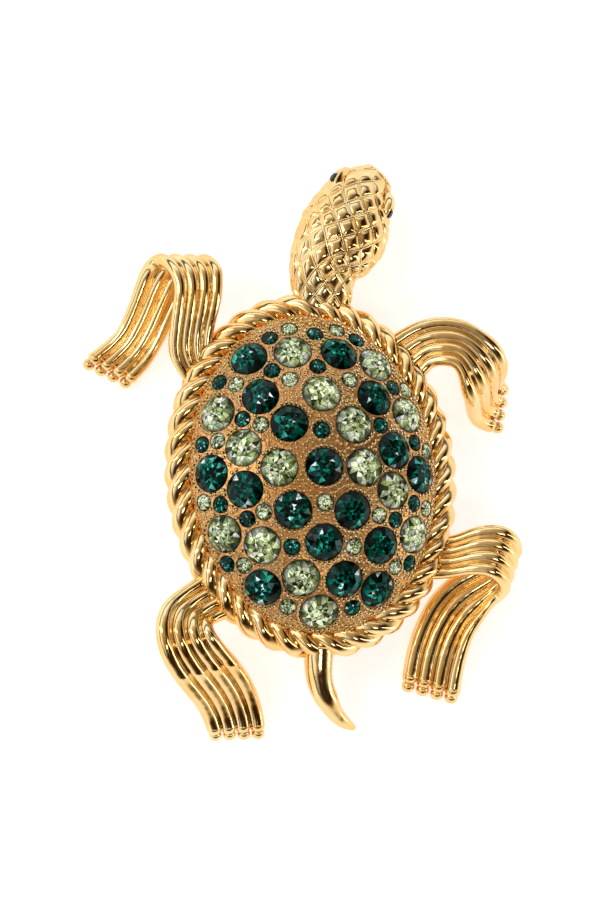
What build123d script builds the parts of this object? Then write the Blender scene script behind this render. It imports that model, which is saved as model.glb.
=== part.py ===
"""Turtle brooch: a gilt casting whose domed shell is set with two colours of round cut stones."""
import math
import os

from build123d import *

os.makedirs("parts", exist_ok=True)

# All lengths are millimetres. The turtle stands on its toes at Z = 0 with its pin underneath.
# +X is to the right as it is looked at, +Y to its head and +Z up out of the shell.

# Place of the shell's middle, which centres the whole outline on the origin
SHELL_X = -0.55
SHELL_Y = -3.82
RING_HEIGHT = 6.9  # middle of the rope border above the floor

# Shell plate
SHELL_HALF_WIDTH = 17.2
SHELL_HALF_LENGTH = 22.4
SHELL_RISE = 7.3  # from the plate's edge to its crown
SHELL_FULLNESS = 0.84  # how far down its ellipsoid the dome is cut, as a share of the half width
SHELL_EDGE_RISE = 1.9  # top of the plate's edge above the rope's middle
SHELL_EDGE_DROP = 0.9  # bottom of the plate's edge below the rope's middle
SHELL_WALL = 2.2
FIT_GAP = 0.1  # between the plate and the rope border

# Rope border
ROPE_OUTSET = 1.0  # the rope's middle line lies this far outside the plate's edge
ROPE_RADIUS = 2.4  # over the crests of the strands
GROOVE_DEPTH = 0.7
STRANDS = 3
TURNS = 13
STATIONS_PER_TURN = 10
POINTS_PER_STRAND = 3
ROPE_BACK_DROP = 1.9  # the flat back of the border below the rope's middle

# Cut stones
LARGE_RADIUS = 2.6
SMALL_RADIUS = 1.15
EYE_RADIUS = 0.95
LARGE_SIDES = 10
SMALL_SIDES = 8
TABLE_SHARE = 0.6  # table over girdle
CROWN_SHARE = 0.34  # crown height over girdle radius
GIRDLE_SHARE = 0.06
PAVILION_SHARE = 0.62
CULET_SHARE = 0.2
SEAT_GAP = 0.07
SEAT_MOUTH = 1.4  # how far a seat's cutter stands out of the plate
STONE_SINK = 0.12  # girdle below the dome's surface at the stone's middle

# Legs: four round ribs side by side, ending in ball toes
RIBS = 4
RIB_FULLNESS = 0.53  # rib radius over the distance between ribs
RIB_POINTS = 4  # points over the crest of a middle rib
END_RIB_POINTS = 7  # points round the open side of an end rib
LEG_SECTIONS = 15
LEG_RISE = 2.6  # highest point of the legs' middle above the rope's middle
TOE_HEIGHT = 1.25  # the ribs' middle above the floor where they end
TOE_FULLNESS = 0.40  # ball radius over the distance between ribs
TOE_STEP = 0.5  # the balls' middles stand this far past the ends of the ribs
BALL_SIDES = 8
BALL_ROWS = 4
BALL_FLAT = 24  # degrees from a ball's pole to the edge of its flat
COLLAR_SIDES = 12
OVAL_SIDES = 72  # sides of the opening that the plate sits in

# Head and neck
HEAD_LENGTH = 19.5  # from the rope's middle line to the nose
HEAD_WIDTH = 13.0
HEAD_HEIGHT = 9.6
NECK_SIDE = 4.0  # the neck leaves the rope this far to the right of the middle
SCALES_ROUND = 12
SCALE_ROWS = 14
SCALE_RELIEF = 0.35
NOSE_FLAT = 0.3  # the nose's flat end over the last ring of the head
EYE_STATION = 0.75  # share of the head's length where the eyes are
EYE_ANGLE = 20  # degrees above the head's widest line
EYE_COLLAR_WALL = 0.45
EYE_COLLAR_STAND = 0.5  # the collar's rim outside the head
EYE_SEAT_DEPTH = 0.9

# Tail
TAIL_LENGTH = 12.4  # from the rope's middle line to the tip
TAIL_WIDTH = 3.8
TAIL_SIDES = 12

# Pin at the back
PIN_ACROSS = 5.0  # the bar's distance above the shell's middle
BAR_WIDTH = 3.0
BAR_THICKNESS = 1.0
BAR_GAP = 0.05  # under the border's flat back
STEM_RADIUS = 0.45
STEM_DROP = 2.1  # the stem's middle below the bar
HINGE_WIDTH = 2.4
CATCH_WALL = 0.7
CATCH_WIDTH = 2.0
PIN_END_INSET = 3.4  # hinge and catch stand this far inside the bar's ends

ROPE_HALF_WIDTH = SHELL_HALF_WIDTH + ROPE_OUTSET
ROPE_HALF_LENGTH = SHELL_HALF_LENGTH + ROPE_OUTSET
EDGE_TOP = RING_HEIGHT + SHELL_EDGE_RISE
EDGE_BOTTOM = RING_HEIGHT - SHELL_EDGE_DROP
BACK_HEIGHT = RING_HEIGHT - ROPE_BACK_DROP

# The dome is an ellipsoid's cap. These are its half axes and the height of its middle.
CAP_COSINE = math.sqrt(1 - SHELL_FULLNESS**2)
DOME_HALF_HEIGHT = SHELL_RISE / (1 - CAP_COSINE)
DOME_HALF_WIDTH = SHELL_HALF_WIDTH / SHELL_FULLNESS
DOME_HALF_LENGTH = SHELL_HALF_LENGTH / SHELL_FULLNESS
DOME_BASE = EDGE_TOP - DOME_HALF_HEIGHT * CAP_COSINE

# Large stones, charted from the photograph: (across, along) as shares of the shell's half width
# and half length
EMERALDS = [
    (-0.45, 0.74), (0.28, 0.72), (-0.41, 0.48), (0.52, 0.42), (-0.21, 0.29), (0.64, 0.08),
    (-0.85, 0.04), (0.03, 0.00), (0.85, -0.07), (-0.61, -0.09), (-0.25, -0.25), (0.23, -0.28),
    (-0.02, -0.46), (0.45, -0.50), (0.13, -0.69), (-0.52, -0.69), (0.41, -0.76),
]
PERIDOTS = [
    (-0.10, 0.75), (0.58, 0.64), (0.08, 0.46), (-0.75, 0.41), (0.31, 0.25), (0.79, 0.31),
    (-0.59, 0.17), (-0.33, 0.02), (0.36, -0.02), (0.59, -0.17), (-0.79, -0.34), (-0.51, -0.44),
    (0.75, -0.44), (-0.22, -0.66), (-0.08, -0.87),
]

# Small stones: (across, along), in the same shares
SMALL_EMERALDS = [
    (-0.26, 0.86), (0.11, 0.86), (0.45, 0.81), (-0.29, 0.64), (0.08, 0.64), (-0.70, 0.61),
    (0.70, 0.485), (-0.57, 0.35), (0.04, 0.23), (0.54, 0.24), (-0.89, 0.23), (0.83, 0.13),
    (-0.80, -0.16), (0.77, -0.25), (-0.61, -0.27), (0.59, -0.35), (-0.28, -0.47), (-0.78, -0.52),
    (0.70, -0.61), (0.19, -0.86),
]
SMALL_PERIDOTS = [
    (-0.09, 0.91), (0.30, 0.88), (-0.16, 0.57), (0.33, 0.54), (-0.58, 0.58), (0.82, 0.475),
    (-0.435, 0.30), (-0.775, 0.235), (0.94, 0.08), (-0.92, -0.13), (-0.48, -0.24), (0.01, -0.22),
    (0.45, -0.32), (0.88, -0.28), (0.22, -0.50), (-0.655, -0.545), (0.57, -0.63), (-0.33, -0.82),
]

# Legs, a row for each section from the rope to the toes: the middles of the first and the last rib,
# (across, along, height, across, along, height). Across and along are shares of the rope's half
# width and half length. Height 0 is the rope's middle, 1 the legs' highest point, -1 the toes.
LEGS = {
    "front left": [
        (-0.84, 0.59, -0.05, -0.73, 0.71, -0.05),
        (-0.965, 0.775, 0.23, -0.71, 0.84, 0.23),
        (-0.95, 0.92, 0.58, -0.68, 0.95, 0.58),
        (-0.90, 1.09, 0.88, -0.62, 1.09, 0.88),
        (-0.88, 1.19, 1.00, -0.60, 1.20, 1.00),
        (-0.91, 1.29, 0.85, -0.60, 1.28, 0.85),
        (-0.99, 1.37, 0.23, -0.67, 1.35, 0.23),
        (-1.08, 1.34, -0.21, -0.74, 1.30, -0.21),
        (-1.16, 1.21, -0.42, -0.85, 1.18, -0.42),
        (-1.23, 1.09, -0.61, -0.95, 1.04, -0.61),
        (-1.32, 0.97, -0.80, -1.06, 0.89, -0.80),
        (-1.45, 0.89, -0.94, -1.19, 0.765, -0.94),
        (-1.58, 0.82, -1.00, -1.31, 0.695, -1.00),
    ],
    "front right": [
        (0.71, 0.75, -0.05, 0.91, 0.56, -0.05),
        (0.91, 0.835, 0.31, 1.01, 0.63, 0.31),
        (1.10, 0.855, 0.69, 1.10, 0.63, 0.69),
        (1.28, 0.82, 0.88, 1.19, 0.61, 0.88),
        (1.42, 0.74, 0.85, 1.24, 0.54, 0.85),
        (1.52, 0.66, 0.62, 1.27, 0.46, 0.62),
        (1.56, 0.59, 0.08, 1.31, 0.39, 0.08),
        (1.58, 0.55, -0.35, 1.34, 0.34, -0.35),
        (1.57, 0.51, -0.70, 1.38, 0.29, -0.70),
        (1.59, 0.49, -0.92, 1.46, 0.26, -0.92),
        (1.625, 0.47, -1.00, 1.55, 0.24, -1.00),
    ],
    "rear left": [
        (-0.85, -0.55, -0.05, -0.68, -0.75, -0.05),
        (-1.07, -0.64, 0.19, -0.87, -0.80, 0.19),
        (-1.20, -0.71, 0.58, -0.93, -0.83, 0.58),
        (-1.26, -0.81, 0.88, -0.93, -0.88, 0.88),
        (-1.265, -0.91, 0.92, -0.91, -0.92, 0.92),
        (-1.23, -1.01, 0.58, -0.86, -0.98, 0.58),
        (-1.155, -1.11, 0.00, -0.77, -1.06, 0.00),
        (-1.06, -1.20, -0.31, -0.68, -1.15, -0.31),
        (-0.97, -1.29, -0.61, -0.61, -1.25, -0.61),
        (-0.915, -1.375, -0.85, -0.57, -1.36, -0.85),
        (-0.885, -1.46, -1.00, -0.555, -1.47, -1.00),
    ],
    "rear right": [
        (0.90, -0.46, -0.05, 0.77, -0.64, -0.05),
        (1.06, -0.46, 0.23, 0.99, -0.65, 0.23),
        (1.20, -0.43, 0.69, 1.13, -0.64, 0.69),
        (1.35, -0.43, 1.00, 1.25, -0.65, 1.00),
        (1.45, -0.46, 1.00, 1.33, -0.68, 1.00),
        (1.52, -0.51, 0.46, 1.40, -0.73, 0.46),
        (1.53, -0.57, -0.14, 1.41, -0.78, -0.14),
        (1.43, -0.61, -0.38, 1.35, -0.82, -0.38),
        (1.29, -0.63, -0.52, 1.26, -0.89, -0.52),
        (1.07, -0.69, -0.63, 1.155, -0.975, -0.63),
        (0.87, -0.83, -0.75, 1.08, -1.08, -0.75),
        (0.72, -1.05, -0.87, 1.02, -1.21, -0.87),
        (0.65, -1.27, -1.00, 0.975, -1.36, -1.00),
    ],
}

# Head, a row for each section from the rope to the nose: (side, forward, rise, width, height).
# Side and forward are shares of the head's length, rise of its height, width and height of its own.
HEAD = [
    (0.00, 0.00, 0.00, 0.52, 0.38),
    (0.01, 0.15, 0.04, 0.58, 0.60),
    (0.05, 0.32, 0.08, 0.79, 0.86),
    (0.185, 0.51, 0.06, 0.97, 1.00),
    (0.285, 0.69, 0.03, 0.87, 0.92),
    (0.385, 0.83, 0.00, 0.67, 0.76),
    (0.50, 0.95, -0.03, 0.40, 0.46),
]
NOSE = (0.54, 1.00, -0.04)

# Tail, a row for each section from the rope to the tip: (side, back, height, width). Side and back
# are shares of its length, width of its own. Height 0 is the rope's middle, -1 the toes' middle.
TAIL = [
    (-0.10, 0.03, -0.03, 1.00),
    (-0.12, 0.26, -0.14, 0.92),
    (-0.10, 0.47, -0.30, 0.84),
    (-0.04, 0.62, -0.42, 0.76),
    (0.03, 0.75, -0.57, 0.60),
    (0.14, 0.87, -0.75, 0.42),
    (0.25, 0.94, -0.90, 0.16),
]


def on_shell(x_share, y_share):
    """Plane on the dome at a place given as shares of the shell's half width and half length."""
    x = x_share * SHELL_HALF_WIDTH
    y = y_share * SHELL_HALF_LENGTH
    up = math.sqrt(1 - (x / DOME_HALF_WIDTH) ** 2 - (y / DOME_HALF_LENGTH) ** 2)
    normal = (x / DOME_HALF_WIDTH**2, y / DOME_HALF_LENGTH**2, up / DOME_HALF_HEIGHT)
    place = (SHELL_X + x, SHELL_Y + y, DOME_BASE + DOME_HALF_HEIGHT * up)
    return Plane(origin=place, z_dir=normal)


def oval(half_width, half_length, bottom, top):
    """Upright oval column about the shell's middle."""
    with BuildPart() as column:
        with BuildSketch(Plane((SHELL_X, SHELL_Y, bottom))):
            Ellipse(half_width, half_length)
        extrude(amount=top - bottom)
    return column.part


def ellipsoid_dome(inset):
    """Solid ellipsoid of the dome, drawn in by inset on every side."""
    height = DOME_HALF_HEIGHT - inset
    with BuildPart() as ball:
        Sphere(height)
        scale(by=((DOME_HALF_WIDTH - inset) / height, (DOME_HALF_LENGTH - inset) / height, 1))
    return ball.part.moved(Location((SHELL_X, SHELL_Y, DOME_BASE)))


def cut_stone(radius, sides):
    """Round cut stone about its girdle: flat table, crown facets, girdle and pavilion facets."""
    edge = GIRDLE_SHARE * radius / 2
    with BuildPart() as stone:
        with BuildSketch(Plane.XY.offset(CROWN_SHARE * radius)):
            RegularPolygon(TABLE_SHARE * radius, sides)
        with BuildSketch(Plane.XY.offset(edge)):
            RegularPolygon(radius, sides)
        loft(ruled=True)
        with BuildSketch(Plane.XY.offset(-edge)):
            RegularPolygon(radius, sides)
        extrude(amount=2 * edge)
        with BuildSketch(Plane.XY.offset(-edge)):
            RegularPolygon(radius, sides)
        with BuildSketch(Plane.XY.offset(-PAVILION_SHARE * radius)):
            RegularPolygon(CULET_SHARE * radius, sides)
        loft(ruled=True)
    return stone.part


def seat_cutter(radius):
    """What a stone's seat removes: the stone's pavilion and girdle grown by the seat's gap."""
    wide = radius + SEAT_GAP
    deep = PAVILION_SHARE * radius + SEAT_GAP
    with BuildPart() as cutter:
        with BuildSketch(Plane.XZ):
            with BuildLine():
                Polyline(
                    (0, -deep), (CULET_SHARE * radius + SEAT_GAP, -deep),
                    (wide, -GIRDLE_SHARE * radius), (wide, SEAT_MOUTH), (0, SEAT_MOUTH), close=True,
                )
            make_face()
        revolve(axis=Axis.Z)
    return cutter.part


def seated(shape, x_share, y_share):
    """The shape moved from the origin to its place in the shell."""
    return shape.moved(on_shell(x_share, y_share).offset(-STONE_SINK).location)


def faceted(rings, closed):
    """Solid over rings of points. Closed joins the last ring to the first, else its ends are flat."""
    faces = []
    count = len(rings[0])
    pairs = list(zip(rings, rings[1:]))
    if closed:
        pairs.append((rings[-1], rings[0]))
    for near, far in pairs:
        for i in range(count):
            j = (i + 1) % count
            corners = [near[i], near[j], far[j], far[i]]
            for triangle in split_quad(corners, i):
                faces.append(Face(Wire.make_polygon(triangle)))
    if not closed:
        faces.append(Face(Wire.make_polygon(rings[0])))
        faces.append(Face(Wire.make_polygon(rings[-1])))
    return Solid(Shell(faces))


def split_quad(corners, index):
    """Two triangles over four corners, cut along the diagonal that starts at an even place."""
    a, b, c, d = corners
    if index % 2:
        return [a, b, d], [b, c, d]
    return [a, b, c], [a, c, d]


def round_outline(radius, sides):
    """Outline of a round section about its middle, as (across, up) points."""
    angles = [2 * math.pi * i / sides for i in range(sides)]
    return [(radius * math.cos(angle), radius * math.sin(angle)) for angle in angles]


def ball(radius):
    """Round toe on the floor at the origin, with a small flat above and below."""
    rings = []
    for row in range(BALL_ROWS + 1):
        angle = math.radians(BALL_FLAT + (180 - 2 * BALL_FLAT) * row / BALL_ROWS)
        height = radius * (math.cos(math.radians(BALL_FLAT)) - math.cos(angle))
        outline = round_outline(radius * math.sin(angle), BALL_SIDES)
        rings.append([Vector(u, v, height) for u, v in outline])
    return faceted(rings, closed=False)


def faceted_oval(half_width, half_length, bottom, top):
    """Upright oval column about the shell's middle, with flat sides."""
    angles = [2 * math.pi * i / OVAL_SIDES for i in range(OVAL_SIDES)]
    rings = []
    for height in (bottom, top):
        rings.append([
            Vector(SHELL_X + half_width * math.cos(a), SHELL_Y + half_length * math.sin(a), height)
            for a in angles
        ])
    return faceted(rings, closed=False)


def rope():
    """Twisted rope round the shell: strands that turn as the ring of sections goes round."""
    middle = Edge.make_ellipse(
        ROPE_HALF_WIDTH, ROPE_HALF_LENGTH, Plane((SHELL_X, SHELL_Y, RING_HEIGHT))
    )
    stations = TURNS * STATIONS_PER_TURN
    points = STRANDS * POINTS_PER_STRAND
    rings = []
    for station in range(stations):
        share = station / stations
        along = middle.tangent_at(share)
        outward = Vector(along.Y, -along.X, 0)
        twist = 2 * math.pi * station / STATIONS_PER_TURN
        ring = []
        for point in range(points):
            angle = 2 * math.pi * point / points
            crest = (1 + math.cos(STRANDS * angle)) / 2
            radius = ROPE_RADIUS - GROOVE_DEPTH * (1 - crest)
            turn = angle - twist
            ring.append(
                middle.position_at(share)
                + outward * (radius * math.cos(turn))
                + Vector(0, 0, radius * math.sin(turn))
            )
        rings.append(ring)
    with BuildPart() as border:
        add(faceted(rings, closed=True))
        split(bisect_by=Plane.XY.offset(BACK_HEIGHT), keep=Keep.TOP)
    return border.part


def leg_height(share):
    """Height of a leg's middle: 0 is the rope's middle, 1 the highest point and -1 the toes."""
    if share > 0:
        return RING_HEIGHT + share * LEG_RISE
    return RING_HEIGHT + share * (RING_HEIGHT - TOE_HEIGHT)


def leg_point(across, along, height):
    """Point of a leg from its shares."""
    x = SHELL_X + across * ROPE_HALF_WIDTH
    y = SHELL_Y + along * ROPE_HALF_LENGTH
    return Vector(x, y, leg_height(height))


def rib_outline(pitch):
    """Outline of the ribs side by side about its middle, an arc over each, as (across, up) points."""
    radius = RIB_FULLNESS * pitch
    lean = math.degrees(math.asin(pitch / 2 / radius))
    first = -(RIBS - 1) / 2 * pitch
    arcs = [(RIBS - 1, -90 - lean, 90 + lean, END_RIB_POINTS)]
    arcs += [(rib, 90 - lean, 90 + lean, RIB_POINTS) for rib in range(RIBS - 2, 0, -1)]
    arcs += [(0, 90 - lean, 270 + lean, END_RIB_POINTS)]
    arcs += [(rib, 270 - lean, 270 + lean, RIB_POINTS) for rib in range(1, RIBS - 1)]
    points = []
    for rib, start, end, count in arcs:
        for i in range(count):
            angle = math.radians(start + (end - start) * i / count)
            across = first + rib * pitch + radius * math.cos(angle)
            points.append((across, radius * math.sin(angle)))
    return points


def leg_sides(rows, place):
    """Middles of a leg's first and last rib at a share of its length."""
    row = smooth(rows, min(max(place, 0), 1))
    return leg_point(*row[:3]), leg_point(*row[3:])


def leg(rows):
    """Ribbon of ribs through its sections, with a ball at the end of each rib."""
    rings = []
    for section in range(LEG_SECTIONS + 1):
        a, b = leg_sides(rows, section / LEG_SECTIONS)
        ahead = sum(leg_sides(rows, (section + 0.5) / LEG_SECTIONS), Vector())
        behind = sum(leg_sides(rows, (section - 0.5) / LEG_SECTIONS), Vector())
        across = (b - a).normalized()
        forward = ahead - behind
        normal = (forward - across * forward.dot(across)).normalized()
        up = normal.cross(across)
        middle = (a + b) * 0.5
        outline = rib_outline((b - a).length / (RIBS - 1))
        rings.append([middle + across * u + up * v for u, v in outline])
    toe_ball = ball(TOE_FULLNESS * (b - a).length / (RIBS - 1))
    with BuildPart() as limb:
        add(faceted(rings, closed=False))
        for rib in range(RIBS):
            toe = a + (b - a) * (rib / (RIBS - 1)) + normal * TOE_STEP
            add(toe_ball.moved(Location((toe.X, toe.Y, 0))))
    return limb.part


def smooth(rows, place):
    """Values of a table at a share of its length, by a cubic through its rows."""
    spot = place * (len(rows) - 1)
    i = min(int(spot), len(rows) - 2)
    t = spot - i
    before, start, end, after = (rows[min(max(k, 0), len(rows) - 1)] for k in range(i - 1, i + 3))
    return [
        b + t * (c - a) / 2 + t**2 * (2 * a - 5 * b + 4 * c - d) / 2 + t**3 * (3 * (b - c) + d - a) / 2
        for a, b, c, d in zip(before, start, end, after)
    ]


def head_point(side, forward, rise):
    """Point of the head from its shares."""
    x = SHELL_X + NECK_SIDE + side * HEAD_LENGTH
    y = SHELL_Y + ROPE_HALF_LENGTH + forward * HEAD_LENGTH
    return Vector(x, y, RING_HEIGHT + rise * HEAD_HEIGHT)


def head_frame(place):
    """Middle, sideways direction, half width and half height of the head at a share of its length."""
    step = 0.01
    side, forward, rise, width, height = smooth(HEAD, place)
    ahead = head_point(*smooth(HEAD, min(place + step, 1))[:3])
    behind = head_point(*smooth(HEAD, max(place - step, 0))[:3])
    along = ahead - behind
    sideways = Vector(along.Y, -along.X, 0).normalized()
    return head_point(side, forward, rise), sideways, width * HEAD_WIDTH / 2, height * HEAD_HEIGHT / 2


def head():
    """Neck and head with a net of raised scales, each a diamond with its middle standing out."""
    points = 2 * SCALES_ROUND
    rings = []
    for row in range(SCALE_ROWS + 1):
        middle, sideways, half_width, half_height = head_frame(row / SCALE_ROWS)
        ring = []
        for point in range(points):
            angle = 2 * math.pi * point / points
            relief = SCALE_RELIEF if (row + point) % 2 and row < SCALE_ROWS else 0
            across = (half_width + relief) * math.cos(angle)
            up = (half_height + relief) * math.sin(angle)
            ring.append(middle + sideways * across + Vector(0, 0, up))
        rings.append(ring)
    nose = head_point(*NOSE)
    rings.append([nose + (point - nose) * NOSE_FLAT for point in rings[-1]])
    return faceted(rings, closed=False)


def eye_plane(side):
    """Plane on the head's surface at an eye, facing out of it. Side is -1 for left, 1 for right."""
    middle, sideways, half_width, half_height = head_frame(EYE_STATION)
    angle = math.radians(EYE_ANGLE)
    out = sideways * (side * math.cos(angle)) + Vector(0, 0, math.sin(angle))
    place = sideways * (side * half_width * math.cos(angle))
    place += Vector(0, 0, half_height * math.sin(angle))
    return Plane(origin=middle + place, z_dir=out)


def tail():
    """Claw-shaped tail through round sections."""
    middles = []
    for side, back, height, _ in TAIL:
        x = SHELL_X + side * TAIL_LENGTH
        y = SHELL_Y - ROPE_HALF_LENGTH - back * TAIL_LENGTH
        middles.append(Vector(x, y, leg_height(height)))
    rings = []
    for i, row in enumerate(TAIL):
        along = (middles[min(i + 1, len(TAIL) - 1)] - middles[max(i - 1, 0)]).normalized()
        right = along.cross(Vector(0, 0, 1)).normalized()
        down = along.cross(right)
        outline = round_outline(row[3] * TAIL_WIDTH / 2, TAIL_SIDES)
        rings.append([middles[i] + right * u + down * v for u, v in outline])
    return faceted(rings, closed=False)


# Turtle frame: rope border, legs, head and tail in one casting
eye_collar = EYE_RADIUS + SEAT_GAP + EYE_COLLAR_WALL
with BuildPart() as turtle_frame:
    add(rope())
    add([leg(rows) for rows in LEGS.values()] + [head(), tail()])
    add(faceted_oval(
        SHELL_HALF_WIDTH + FIT_GAP, SHELL_HALF_LENGTH + FIT_GAP, EDGE_BOTTOM - FIT_GAP,
        RING_HEIGHT + ROPE_RADIUS + LEG_RISE,
    ), mode=Mode.SUBTRACT)
    for side in (-1, 1):
        with BuildSketch(eye_plane(side).offset(-EYE_SEAT_DEPTH)):
            RegularPolygon(eye_collar, COLLAR_SIDES)
        extrude(amount=EYE_SEAT_DEPTH + EYE_COLLAR_STAND)
        with BuildSketch(eye_plane(side).offset(EYE_COLLAR_STAND)):
            RegularPolygon(EYE_RADIUS + SEAT_GAP, COLLAR_SIDES, major_radius=False)
        extrude(amount=-EYE_SEAT_DEPTH, mode=Mode.SUBTRACT)
turtle_frame.part.label = "turtle_frame"
export_step(turtle_frame.part, "parts/turtle_frame.step")

# Shell plate: hollow dome with a seat for each stone
large_seat = seat_cutter(LARGE_RADIUS)
small_seat = seat_cutter(SMALL_RADIUS)
with BuildPart() as shell_plate:
    add(ellipsoid_dome(0))
    add(ellipsoid_dome(SHELL_WALL), mode=Mode.SUBTRACT)
    add(oval(SHELL_HALF_WIDTH, SHELL_HALF_LENGTH, EDGE_BOTTOM, EDGE_TOP + SHELL_RISE),
        mode=Mode.INTERSECT)
    add([seated(large_seat, *place) for place in EMERALDS + PERIDOTS]
        + [seated(small_seat, *place) for place in SMALL_EMERALDS + SMALL_PERIDOTS],
        mode=Mode.SUBTRACT)
shell_plate.part.label = "shell_plate"
export_step(shell_plate.part, "parts/shell_plate.step")

# Large stones, one piece each
large_cut = cut_stone(LARGE_RADIUS, LARGE_SIDES)
for colour, places in (("emerald", EMERALDS), ("peridot", PERIDOTS)):
    for number, place in enumerate(places, 1):
        name = f"{colour}_{number:02d}"
        with BuildPart() as stone:
            add(seated(large_cut, *place))
        stone.part.label = name
        export_step(stone.part, f"parts/{name}.step")

# Small stones, one piece for each colour
small_cut = cut_stone(SMALL_RADIUS, SMALL_SIDES)
for name, places in (("small_emeralds", SMALL_EMERALDS), ("small_peridots", SMALL_PERIDOTS)):
    with BuildPart() as field:
        add([seated(small_cut, *place) for place in places])
    field.part.label = name
    export_step(field.part, f"parts/{name}.step")

# Eyes
eye_cut = cut_stone(EYE_RADIUS, SMALL_SIDES)
for name, side in (("eye_left", -1), ("eye_right", 1)):
    with BuildPart() as eye:
        add(eye_cut.moved(eye_plane(side).offset(EYE_COLLAR_STAND - GIRDLE_SHARE).location))
    eye.part.label = name
    export_step(eye.part, f"parts/{name}.step")

# Brooch pin: bar across the back, hinge end, stem and catch in one piece
bar_top = BACK_HEIGHT - BAR_GAP
bar_bottom = bar_top - BAR_THICKNESS
stem_height = bar_bottom - STEM_DROP
bar_half = ROPE_HALF_WIDTH * math.sqrt(1 - (PIN_ACROSS / ROPE_HALF_LENGTH) ** 2)
pin_y = SHELL_Y + PIN_ACROSS
end_x = bar_half - PIN_END_INSET
catch_side = STEM_RADIUS + CATCH_WALL
with BuildPart() as brooch_pin:
    with BuildSketch(Plane((SHELL_X, pin_y, bar_bottom))):
        SlotOverall(2 * bar_half + BAR_WIDTH / 2, BAR_WIDTH)
    extrude(amount=BAR_THICKNESS)
    with BuildSketch(Plane((SHELL_X - end_x, pin_y, bar_bottom))):
        Rectangle(HINGE_WIDTH, BAR_WIDTH)
    extrude(amount=-STEM_DROP)
    with BuildSketch(Plane((SHELL_X - end_x, pin_y + BAR_WIDTH / 2, stem_height), z_dir=(0, 1, 0))):
        Circle(HINGE_WIDTH / 2)
    extrude(amount=-BAR_WIDTH)
    with BuildSketch(Plane((SHELL_X - end_x, pin_y, stem_height), z_dir=(1, 0, 0))):
        Circle(STEM_RADIUS)
    extrude(amount=2 * end_x)
    with BuildSketch(Plane((SHELL_X + end_x, pin_y, bar_bottom))):
        Rectangle(CATCH_WIDTH, 2 * catch_side)
    extrude(amount=-STEM_DROP - catch_side)
brooch_pin.part.label = "brooch_pin"
export_step(brooch_pin.part, "parts/brooch_pin.step")
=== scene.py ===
"""Turtle brooch: detailed pieces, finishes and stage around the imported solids."""

import math

import bpy
import numpy as np
from bpy.props import FloatProperty, FloatVectorProperty, PointerProperty
from mathutils import Matrix, Vector


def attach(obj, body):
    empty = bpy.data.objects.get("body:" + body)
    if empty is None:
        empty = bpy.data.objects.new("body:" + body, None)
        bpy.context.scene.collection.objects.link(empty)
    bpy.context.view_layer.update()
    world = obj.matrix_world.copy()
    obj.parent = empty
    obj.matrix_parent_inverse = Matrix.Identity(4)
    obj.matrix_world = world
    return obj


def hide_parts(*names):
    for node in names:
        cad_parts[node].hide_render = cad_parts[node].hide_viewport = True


bl_info = {
    "name": "Turtle brooch",
    "version": (1, 0, 0),
    "blender": (4, 5, 0),
    "location": "View3D > Sidebar > Turtle",
    "description": "Builds the visible pieces of a gilt turtle brooch set with round stones",
    "category": "Add Mesh",
}

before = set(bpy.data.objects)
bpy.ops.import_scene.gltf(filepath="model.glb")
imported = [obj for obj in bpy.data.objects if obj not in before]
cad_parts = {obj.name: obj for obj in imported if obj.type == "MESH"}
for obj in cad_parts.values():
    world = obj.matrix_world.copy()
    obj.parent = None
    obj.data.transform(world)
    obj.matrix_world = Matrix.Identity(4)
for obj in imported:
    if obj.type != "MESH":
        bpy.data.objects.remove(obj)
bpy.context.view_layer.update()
BODY = "root"
MM = 0.001

# Places and sizes, most of them the solids' own; the lengths are in metres
SHELL_X = -0.55 * MM
SHELL_Y = -3.82 * MM
RING_HEIGHT = 6.9 * MM
SHELL_HALF_WIDTH = 17.2 * MM
SHELL_HALF_LENGTH = 22.4 * MM
SHELL_RISE = 7.3 * MM
SHELL_FULLNESS = 0.84
SHELL_EDGE_RISE = 1.9 * MM
ROPE_OUTSET = 1.0 * MM
TURNS = 13
STRANDS = 3
BACK_HEIGHT = 5.0 * MM
LARGE_RADIUS = 2.6 * MM
SMALL_RADIUS = 1.15 * MM
EYE_RADIUS = 0.95 * MM
EYE_CROWN = 2.0  # crown height over that of the other stones
SEAT_GAP = 0.07 * MM
STONE_SINK = 0.12 * MM  # from the dome down to a stone's girdle
EYE_SINK = 0.15 * MM
BEAD_CLEARANCE = 0.36 * MM  # from a stone's edge to the middle of a bead
BEAD_LIFT = 0.45  # height of a bead's middle over its radius
RIBS = 4
LEG_RISE = 2.6 * MM
TOE_HEIGHT = 1.25 * MM
TOE_FULLNESS = 0.45  # radius of a toe over the distance between toes
TOE_STEP = 0.24 * MM  # from the last section on to the toes' middles
TOE_SETBACK = 0.8 * MM  # how far the ribs end short of the solid's
LEG_EASE = 0.6  # see smooth
FIRST, LAST = [0, 1, 4], [2, 3, 4]  # columns of a leg's table
HEAD_LENGTH = 19.5 * MM
HEAD_WIDTH = 13.0 * MM
HEAD_HEIGHT = 9.6 * MM
NECK_SIDE = 4.0 * MM
SCALE_DIAGONAL = 3.3 * MM
NET_EVENNESS = 0.7  # 0: as many scales in each ring; 1: all of one size
GROOVE_HALF = 0.075  # half width of a groove over the distance between lines
RIDGE_SHARE = 0.35  # height of the ridge in a groove over the scales' own
MOUTH_START = 0.80  # share of the head's length
MOUTH_FADE = 0.08
MOUTH_ANGLE = -6  # degrees from the head's widest line
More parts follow.
